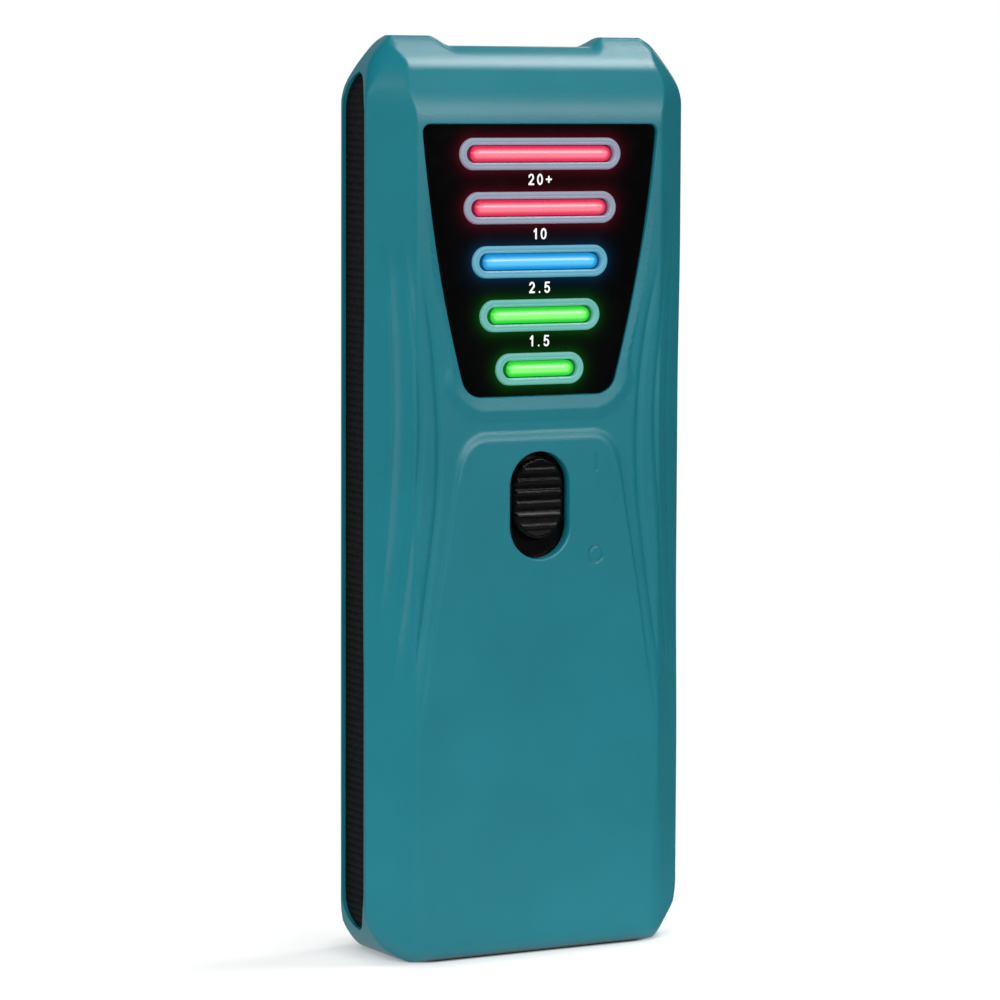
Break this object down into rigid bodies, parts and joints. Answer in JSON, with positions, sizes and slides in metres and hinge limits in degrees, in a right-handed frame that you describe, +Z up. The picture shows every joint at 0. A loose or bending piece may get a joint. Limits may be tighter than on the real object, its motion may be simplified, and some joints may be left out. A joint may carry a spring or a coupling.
{
  "type": "magnetic field meter",
  "caption": "Handheld magnetic-field meter: flat teal case, five-bar coloured light scale, slide switch, ribbed side grips and a hinged battery door.",
  "frame": {"origin": "middle of the base, half way between the front face and the back face", "axes": "+X to the right seen from the front, +Y to the back, +Z up along the case"},
  "size_m": [0.057, 0.02, 0.145],
  "materials": {
    "case_plastic": "fine-textured satin teal ABS",
    "panel_black": "black gloss acrylic",
    "bar_red": "tinted translucent plastic, lit from behind",
    "bar_blue": "tinted translucent plastic, lit from behind",
    "bar_green": "tinted translucent plastic, lit from behind",
    "lamp_package": "white lamp package",
    "grip_rubber": "matt black ribbed rubber",
    "knob_black": "satin black plastic",
    "board_green": "solder mask",
    "steel": "nickel-plated steel",
    "ferrite": "sintered ferrite",
    "copper_wire": "enamelled copper",
    "chip_black": "moulded epoxy",
    "trimmer_blue": "blue nylon",
    "can_aluminium": "drawn can",
    "chip_ceramic": "ceramic",
    "cell_wrap": "printed cell wrap",
    "lead_red": "insulated wire",
    "lead_black": "insulated wire"
  },
  "bodies": {
    "case": {"front_shell": "case_plastic", "rear_shell": "case_plastic", "display_panel": "panel_black", "light_bar_1": "bar_red", "light_bar_2": "bar_red", "light_bar_3": "bar_blue", "light_bar_4": "bar_green", "light_bar_5": "bar_green", "led_pair_1": "lamp_package", "led_pair_2": "lamp_package", "led_pair_3": "lamp_package", "led_pair_4": "lamp_package", "led_pair_5": "lamp_package", "grip_left": "grip_rubber", "grip_right": "grip_rubber", "main_pcb": "board_green", "switch_case": "steel", "coil_core": "ferrite", "coil_winding": "copper_wire", "amplifier_ic": "chip_black", "gain_trimmer": "trimmer_blue", "smoothing_capacitor": "can_aluminium", "chip_resistors": "chip_black", "chip_capacitors": "chip_ceramic", "cell_1": "cell_wrap", "cell_2": "cell_wrap", "cell_3": "cell_wrap", "contact_springs": "steel", "contacts_top": "steel", "contacts_bottom": "steel", "lead_red": "lead_red", "lead_black": "lead_black", "case_screws": "steel", "board_screws": "steel"},
    "switch": {"switch_stem": "knob_black", "switch_knob": "knob_black"},
    "door": {"battery_door": "case_plastic"}
  },
  "joints": [
    {"name": "switch_slide", "type": "slide", "parent": "case", "child": "switch", "axis": [0, 0, 1], "range_m": [-0.0028, 0]},
    {"name": "door_hinge", "type": "hinge", "parent": "case", "child": "door", "pos_m": [0, 0.01, 0.008], "axis": [-1, 0, 0], "range_deg": [0, 75]}
  ]
}
